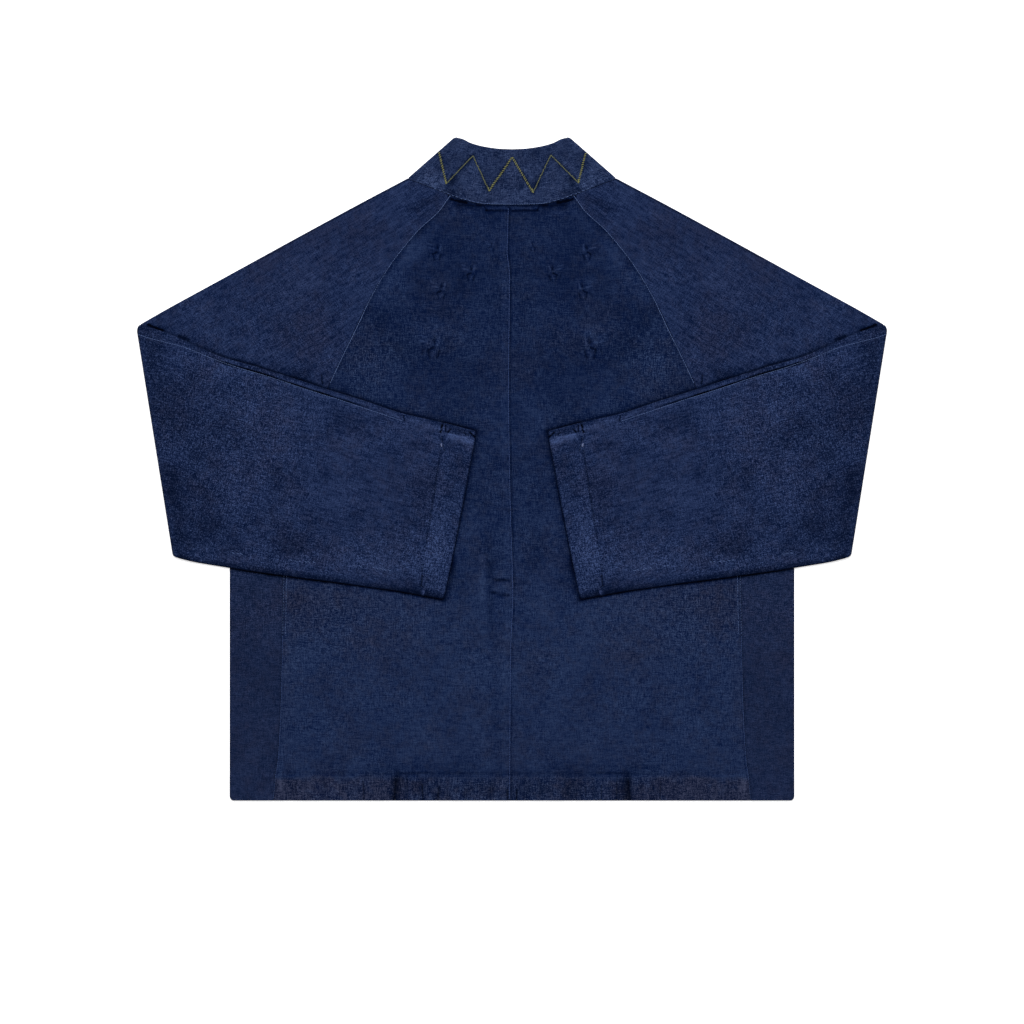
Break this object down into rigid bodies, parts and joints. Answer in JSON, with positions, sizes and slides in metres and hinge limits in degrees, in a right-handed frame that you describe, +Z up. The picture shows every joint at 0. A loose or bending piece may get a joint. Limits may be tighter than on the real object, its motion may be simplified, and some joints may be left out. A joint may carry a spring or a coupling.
{
  "type": "hanten jacket",
  "caption": "Denim hanten laid flat on its front with wide raglan sleeves folded over the back, stand collar and turned hem.",
  "frame": {"origin": "centre of the garment's footprint, on the surface that it lies on", "axes": "+Z up from the surface, out of the garment's back; +Y from the hem towards the collar; +X along its width"},
  "size_m": [0.8498, 0.753, 0.0094],
  "materials": {
    "indigo_denim": "matt brushed indigo twill with a fine slub, slightly mottled",
    "indigo_denim_side": "matt indigo twill, plainer and slightly darker",
    "indigo_denim_collar": "matt indigo twill, doubled and stiffened",
    "indigo_thread": "fine pale indigo sewing thread",
    "ochre_thread": "thick ochre embroidery thread, slightly glossy"
  },
  "bodies": {
    "root": {"back_left": "indigo_denim", "back_right": "indigo_denim", "side_panel_left": "indigo_denim_side", "side_panel_right": "indigo_denim_side", "front_left": "indigo_denim", "front_right": "indigo_denim", "sleeve_left": "indigo_denim", "sleeve_right": "indigo_denim", "collar": "indigo_denim_collar", "front_band_left": "indigo_denim_collar", "front_band_right": "indigo_denim_collar"}
  },
  "joints": []
}
